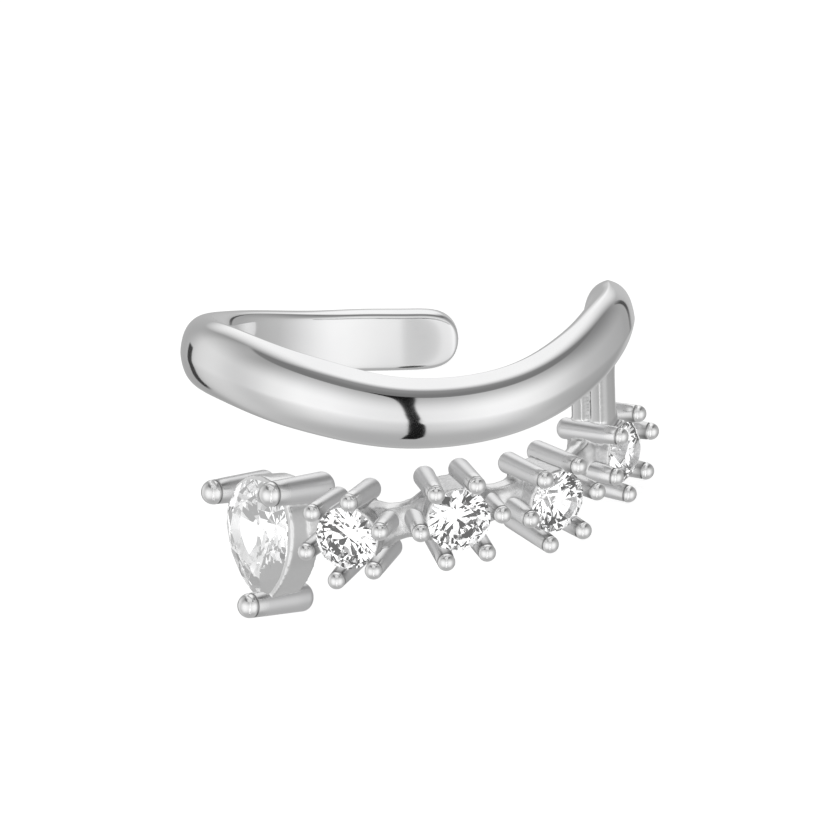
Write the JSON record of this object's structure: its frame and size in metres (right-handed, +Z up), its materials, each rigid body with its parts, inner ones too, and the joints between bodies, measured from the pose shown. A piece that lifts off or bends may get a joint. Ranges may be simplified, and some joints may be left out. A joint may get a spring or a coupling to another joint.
{
  "type": "ear cuff",
  "caption": "Open silver ear cuff: a wavy domed band with a flat paddle end, and a claw-set row of a pear stone and round stones carried on a post below it.",
  "frame": {"origin": "middle of the object's box, at the height of the table it rests on", "axes": "+Z up from the table; -Y towards the front, where the row of stones is; +X to the right, towards the post"},
  "size_m": [0.0126, 0.013, 0.0076],
  "materials": {
    "silver": "high polish, with a fine cast grain on the bars and inside the settings",
    "pear_crystal": "clear facetted pear-cut stone",
    "round_crystal": "clear facetted round-cut stone"
  },
  "bodies": {
    "root": {"cuff_frame": "silver", "pear_stone": "pear_crystal", "round_stone_1": "round_crystal", "round_stone_2": "round_crystal", "round_stone_3": "round_crystal", "round_stone_4": "round_crystal"}
  },
  "joints": []
}
